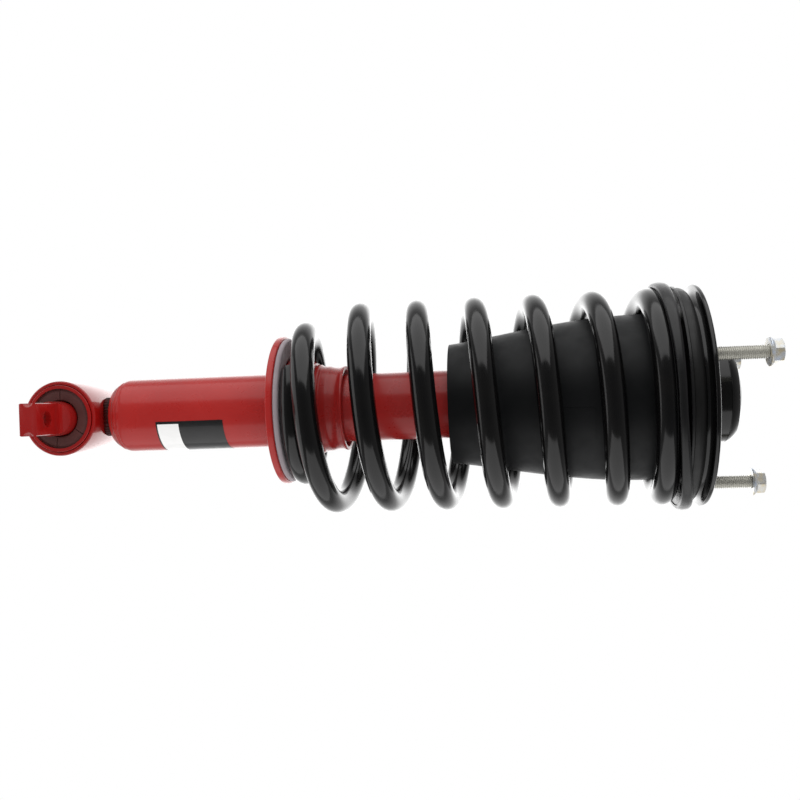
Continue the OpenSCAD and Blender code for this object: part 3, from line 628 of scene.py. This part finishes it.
plate_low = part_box("mount_plate")[0].z * 1000
plate_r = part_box("mount_plate")[1].x * 1000
housing_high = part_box("mount_plate")[1].z * 1000
mounts = {mount["name"]: mount for mount in frame["record"]["mounts"]}
plate_top = mounts["top_face"]["pos_m"][2] * 1000
dome_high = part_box("dome_cap")[1].z * 1000
housing_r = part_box("dome_cap")[1].x * 1000
plate_wall = 3
flare = arc((plate_r - 1, plate_low), (6.2, 4.4), 180, 108, 8)
plate = turned("mount_plate_stamping", [
    (housing_r - plate_wall, plate_top - plate_wall), (78, plate_top - plate_wall, 2),
    (79.7, plate_low + 1.5, 0.6)] + flare + [
    (plate_r - 0.6, plate_low + 4.6, 0.6), (plate_r, plate_low + 5.4, 0.5),
    (plate_r - 0.2, plate_top - 1.1, 0.9), (plate_r - 2.6, plate_top, 1.2), (80, plate_top - 0.5, 1.5),
    (76, plate_top - 0.05, 1), (housing_r + 0.4, plate_top, 1.8), (housing_r - 0.3, plate_top + 2.5, 1),
    (housing_r - 0.3, housing_high - 0.3), (housing_r - plate_wall, housing_high - 0.3)])
mounted(plate, black_gloss, "top_mount", "black_paint", "mount_plate")

rise_h = dome_high - housing_high - 0.5
outline = [(housing_r * r, housing_high + rise_h * h) for r, h in
           ((0.995, 0.0), (0.98, 0.10), (0.95, 0.25), (0.86, 0.47), (0.59, 0.73), (0.22, 0.925))]
cap = turned("housing_dome_cap", [
    (housing_r - 1.8, housing_high - 0.2), (housing_r - 0.1, housing_high - 0.2, 0.3), outline[1],
    (outline[2][0], outline[2][1], 2), (outline[3][0] + 0.4, outline[3][1] - 0.2, 0.3),
    (outline[3][0] - 0.4, outline[3][1] - 0.2, 0.2), (outline[4][0], outline[4][1], 6),
    (outline[5][0], outline[5][1], 3), (0, dome_high - 0.6), (0, dome_high - 2.4)] + [
    (r * 0.93, h - 1.9) for r, h in reversed(outline)])
mounted(cap, black_gloss, "top_mount", "black_paint", "dome_cap")

# The drawing tool leaves a small nib at the middle, where the paint has worn to rust
nib_rust = coating("nib_rust", (0.110, 0.055, 0.040), (0.050, 0.030, 0.026), (0.45, 0.65), (900, 3e-5),
                   patch=400.0)
nib = turned("dome_cap_nib",
             [(0, dome_high - 1.4), (2.8, dome_high - 1, 0.2), (1.5, dome_high, 0.5), (0, dome_high)],
             closed=False)
mounted(nib, nib_rust, "top_mount", "bare_steel", "dome_cap")


# ---------------------------------------------------------------- studs and nuts
# Three M10 studs are pressed into the plate from below. Thread and nuts are zinc-plated:
# the studs pale yellow, the hexagon flange nuts blue-white.

stud_zinc = coating("stud_zinc", (0.66, 0.65, 0.59), (0.57, 0.56, 0.51), (0.32, 0.42), (1600, 0.4e-5),
                    metal=0.6, patch=160.0)
nut_zinc = coating("nut_zinc", (0.70, 0.77, 0.89), (0.66, 0.57, 0.38), (0.24, 0.34), (1400, 0.5e-5),
                   metal=0.6, patch=180.0)
pair = mounts["upper_studs"]
stud_r = pair["dims"]["stud_r_mm"]
pair_y = pair["dims"]["spacing_y_mm"] / 2000
stud_places = [(pair["pos_m"][0], -pair_y), mounts["upper_single_stud"]["pos_m"][:2],
               (pair["pos_m"][0], pair_y)]
nut_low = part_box("flange_nuts")[0].z * 1000
nut_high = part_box("flange_nuts")[1].z * 1000
thread_pitch = 1.5
thread_depth = 0.85
thread_low = plate_top - 0.2
head_r = 8.8
thread_turns = int((nut_high - 2 - thread_low) / thread_pitch)
bpy.ops.object.select_all(action="DESELECT")
bpy.ops.mesh.primitive_plane_add(size=0.001)
stud = bpy.context.object
stud.name = "mount_stud"
bpy.ops.object.mode_set(mode="EDIT")
bpy.ops.mesh.merge(type="CENTER")
bpy.ops.transform.translate(value=Vector((stud_r - thread_depth, 0, thread_low)) / 1000)
for out, up in ((0.0, 0.12), (thread_depth, 0.55), (0.0, 0.2), (-thread_depth, 0.55), (0.0, 0.08)):
    bpy.ops.mesh.extrude_vertices_move(TRANSFORM_OT_translate={"value": Vector((out, 0, up)) / 1000})
bpy.ops.object.mode_set(mode="OBJECT")
with_modifier(stud, "SCREW", angle=2 * math.pi, screw_offset=thread_pitch / 1000, iterations=thread_turns,
              steps=40, render_steps=40, use_merge_vertices=True, merge_threshold=1e-6)
core = turned("stud_core", [
    (0, plate_top - 6.5), (head_r - 0.4, plate_top - 6.5, 0.6), (head_r, plate_top - 5.6, 0.4),
    (head_r, plate_top - 3.4, 0.4), (8.2, plate_top - 3), (stud_r + 0.3, plate_top - 3),
    (stud_r + 0.3, plate_top - 0.2, 0.3),
    (stud_r - thread_depth + 0.04, plate_top + 0.3), (stud_r - thread_depth + 0.04, nut_high - 2.5),
    (stud_r - thread_depth - 0.8, nut_high - 1.2), (0, nut_high - 1.2)], steps=48, closed=False)
bpy.ops.object.select_all(action="DESELECT")
core.select_set(True)
stud.select_set(True)
bpy.context.view_layer.objects.active = stud
bpy.ops.object.join()

nut_flange_r = 10.95
nut_flat = 8.0              # half the width across flats
hex_r = nut_flat / math.cos(math.pi / 6)
bpy.ops.object.select_all(action="DESELECT")
bpy.ops.mesh.primitive_cylinder_add(vertices=6, radius=hex_r / 1000,
                                    depth=(nut_high - nut_low) / 1000,
                                    location=(0, 0, (nut_high + nut_low) / 2000))
nut = bpy.context.object
nut.name = "flange_nut"
bpy.ops.object.transform_apply(location=True)
chamfer = turned("nut_chamfer", [
    (0, nut_low + 1), (hex_r + 0.5, nut_low + 1), (hex_r + 0.5, nut_high - 1.1), (nut_flat - 0.2, nut_high),
    (0, nut_high)], steps=72, closed=False)
cut(nut, [chamfer], "INTERSECT")
with_modifier(nut, "BEVEL", width=0.00025, segments=2, limit_method="ANGLE", angle_limit=math.radians(35))
flange = turned("nut_flange", [
    (0, nut_low), (nut_flange_r - 0.6, nut_low, 0.3), (nut_flange_r, nut_low + 0.5, 0.4),
    (nut_flange_r - 0.3, nut_low + 1.3, 0.4), (hex_r + 0.1, nut_low + 2.9, 0.6), (0, nut_low + 3.4)],
    steps=96, closed=False)
cut(nut, [flange], "UNION")
bore = turned("nut_bore", [
    (0, nut_low - 1), (stud_r + 0.35, nut_low - 1), (stud_r + 0.35, nut_low + 0.2),
    (stud_r - 0.3, nut_low + 1), (stud_r - 0.3, nut_high - 0.9), (stud_r + 0.3, nut_high - 0.3),
    (stud_r + 0.6, nut_high + 1),
    (0, nut_high + 1)],
    steps=48, closed=False)
cut(nut, [bore])

nut_twists = (-12, 9, 20)   # degrees each nut has been turned from the others
for index, (x, y) in enumerate(stud_places):
    for model, name, finish, node in ((stud, "mount_stud", stud_zinc, "mount_studs"),
                                      (nut, "flange_nut", nut_zinc, "flange_nuts")):
        copy = model.copy()
        copy.data = model.data.copy()
        copy.name = f"{name}_{index + 1}"
        bpy.context.scene.collection.objects.link(copy)
        twist = math.radians(nut_twists[index]) if model is nut else 0
        copy.data.transform(Matrix.Translation((x, y, 0)) @ Matrix.Rotation(twist, 4, "Z"))
        mounted(copy, finish, "top_mount", "zinc_plate", node)
bpy.data.objects.remove(stud)
bpy.data.objects.remove(nut)


# ---------------------------------------------------------------- label
# A printed film stuck round the lower tube. It carries no lettering: a dark field with one
# blank pale block.

label_film = coating("label_film", (0.006, 0.006, 0.0065), (0.009, 0.009, 0.0095), (0.3, 0.4), (300, 8e-6),
                     coat=0.3)
label_low, label_high = (corner.z * 1000 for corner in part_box("label"))
label = patch("tube_label", [(tube_r - 0.2, label_low), (tube_r + 0.2, label_low), (tube_r + 0.2, label_high),
                             (tube_r - 0.2, label_high)], 373, 92, corner=3)
mounted(label, label_film, "damper_body", "label_film", "label")
label_white = coating("label_white", (0.92, 0.92, 0.91), (0.86, 0.86, 0.85), (0.3, 0.4), (300, 5e-6),
                      coat=0.3)
block = patch("label_blank_block", [(tube_r + 0.1, label_low + 1.2), (tube_r + 0.28, label_low + 1.2),
                                    (tube_r + 0.28, label_low + 19), (tube_r + 0.1, label_low + 19)],
              371, 86, corner=2.2)
mounted(block, label_white, "damper_body", "label_film", "label")


# ---------------------------------------------------------------- hidden works
# The rod, piston, valves, washers and rubbers inside keep their designed shapes, and get
# the finish that each is made in.

bare_steel = coating("bare_steel", (0.50, 0.50, 0.49), (0.40, 0.40, 0.39), (0.28, 0.42), (1200, 1e-5),
                     metal=1.0)
chrome = coating("hard_chrome", (0.72, 0.72, 0.74), (0.66, 0.66, 0.68), (0.06, 0.12), (2600, 2e-6), metal=1.0)
sinter = coating("sintered_iron", (0.16, 0.16, 0.16), (0.11, 0.11, 0.11), (0.45, 0.6), (2400, 4e-5),
                 metal=0.9, pitted=0.6)
foam = coating("bump_foam", (0.50, 0.42, 0.24), (0.42, 0.35, 0.19), (0.7, 0.85), (1500, 9e-5), pitted=0.7)
polymer = coating("ring_polymer", (0.10, 0.055, 0.03), (0.07, 0.04, 0.022), (0.3, 0.45), (1500, 8e-6))
for finish, names in (
        (bare_steel, ("pressure_tube", "striker_cap", "valve_discs", "piston_nut", "rebound_stop",
                      "mount_sleeve", "lower_washer", "upper_washer")),
        (chrome, ("piston_rod",)),
        (sinter, ("foot_valve", "rod_guide", "piston")),
        (foam, ("bump_stop",)),
        (polymer, ("piston_ring",)),
        (nut_zinc, ("rod_nut",)),
        (black_rubber, ("rod_seal", "mount_pad", "mount_rubber"))):
    for name in names:
        frame["nodes"][name].data.materials.clear()
        frame["nodes"][name].data.materials.append(finish)


# ---------------------------------------------------------------- stage
# A pale floor below the strut, a white surround, and two long soft lights along its sides.

floor_r, floor_z = 0.36, -0.30
bpy.ops.object.select_all(action="DESELECT")
bpy.ops.mesh.primitive_circle_add(vertices=96, radius=floor_r, fill_type="NGON", location=(0, 0, floor_z))
floor = bpy.context.object
floor.name = "floor"
floor_finish = bpy.data.materials.new("pale_floor")
floor_finish.use_nodes = True
floor_shader = floor_finish.node_tree.nodes["Principled BSDF"]
floor_shader.inputs["Base Color"].default_value = (0.9, 0.9, 0.9, 1)
floor_shader.inputs["Roughness"].default_value = 0.9
floor.data.materials.append(floor_finish)

# The surround is white to the camera and even as fill light. Reflections see it fall from
# bright behind the strut to dark on the camera's side.
reflected, filled, direct = 2.3, 0.76, 1.0
shades = ((0.55, 0.10), (0.75, 0.17), (0.90, 0.48), (0.96, 0.95))      # place along Y, brightness
scene = bpy.context.scene
scene.view_settings.view_transform = "Standard"
world = bpy.data.worlds.new("surround")
scene.world = world
world.use_nodes = True
sky = world.node_tree
background = sky.nodes["Background"]
background.inputs["Color"].default_value = (1, 1, 1, 1)
place = sky.nodes.new("ShaderNodeTexCoord")
split = sky.nodes.new("ShaderNodeSeparateXYZ")
depth = sky.nodes.new("ShaderNodeMapRange")
depth.inputs["From Min"].default_value = -1.0
room = sky.nodes.new("ShaderNodeValToRGB")
room.color_ramp.elements[0].color = (0.03, 0.03, 0.03, 1)
for position, bright in shades:
    room.color_ramp.elements.new(position).color = (bright, bright, bright, 1)
strong = sky.nodes.new("ShaderNodeMath")
strong.operation = "MULTIPLY"
strong.inputs[1].default_value = reflected
seen = sky.nodes.new("ShaderNodeLightPath")
fill = sky.nodes.new("ShaderNodeMix")
fill.inputs["B"].default_value = filled
pick = sky.nodes.new("ShaderNodeMix")
pick.inputs["B"].default_value = direct
sky.links.new(place.outputs["Generated"], split.inputs["Vector"])
sky.links.new(split.outputs["Y"], depth.inputs["Value"])
sky.links.new(seen.outputs["Is Diffuse Ray"], fill.inputs["Factor"])
sky.links.new(depth.outputs["Result"], room.inputs["Fac"])
sky.links.new(room.outputs["Color"], strong.inputs[0])
sky.links.new(strong.outputs["Value"], fill.inputs["A"])
sky.links.new(seen.outputs["Is Camera Ray"], pick.inputs["Factor"])
sky.links.new(fill.outputs["Result"], pick.inputs["A"])
sky.links.new(pick.outputs["Result"], background.inputs["Strength"])

for name, spot, width, length, power in (
        ("top_softbox", (-0.80, -0.34, 0.28), 1.20, 1.6, 7.0),
        ("bottom_softbox", (0.80, -0.34, 0.28), 1.20, 1.6, 5.0)):
    light = bpy.data.lights.new(name, "AREA")
    light.shape = "RECTANGLE"
    light.size = width
    light.size_y = length
    light.energy = power
    lamp = bpy.data.objects.new(name, light)
    scene.collection.objects.link(lamp)
    back = Vector((spot[0], 0, 0)).normalized()
    side = Vector((0, 0, 1)).cross(back).normalized()
    toward = Matrix((side, back.cross(side), back)).transposed().to_4x4()
    lamp.matrix_world = Matrix.Translation(spot) @ toward

# The camera looks at the strut's side with the strut lying across the frame, top mount right
eye_point = Vector((-0.00149, -0.74904, 0.36747))
aim = Vector((-0.00485, 0, 0.27798))
upward = Vector((-0.99929, 0, 0.03752))
camera_data = bpy.data.cameras.new("camera")
camera_data.lens = 41.5
camera_data.sensor_width = 36
camera = bpy.data.objects.new("camera", camera_data)
scene.collection.objects.link(camera)
ahead = (aim - eye_point).normalized()
right = ahead.cross(upward).normalized()
facing = Matrix((right, right.cross(ahead), -ahead)).transposed().to_4x4()
camera.matrix_world = Matrix.Translation(eye_point) @ facing
scene.camera = camera
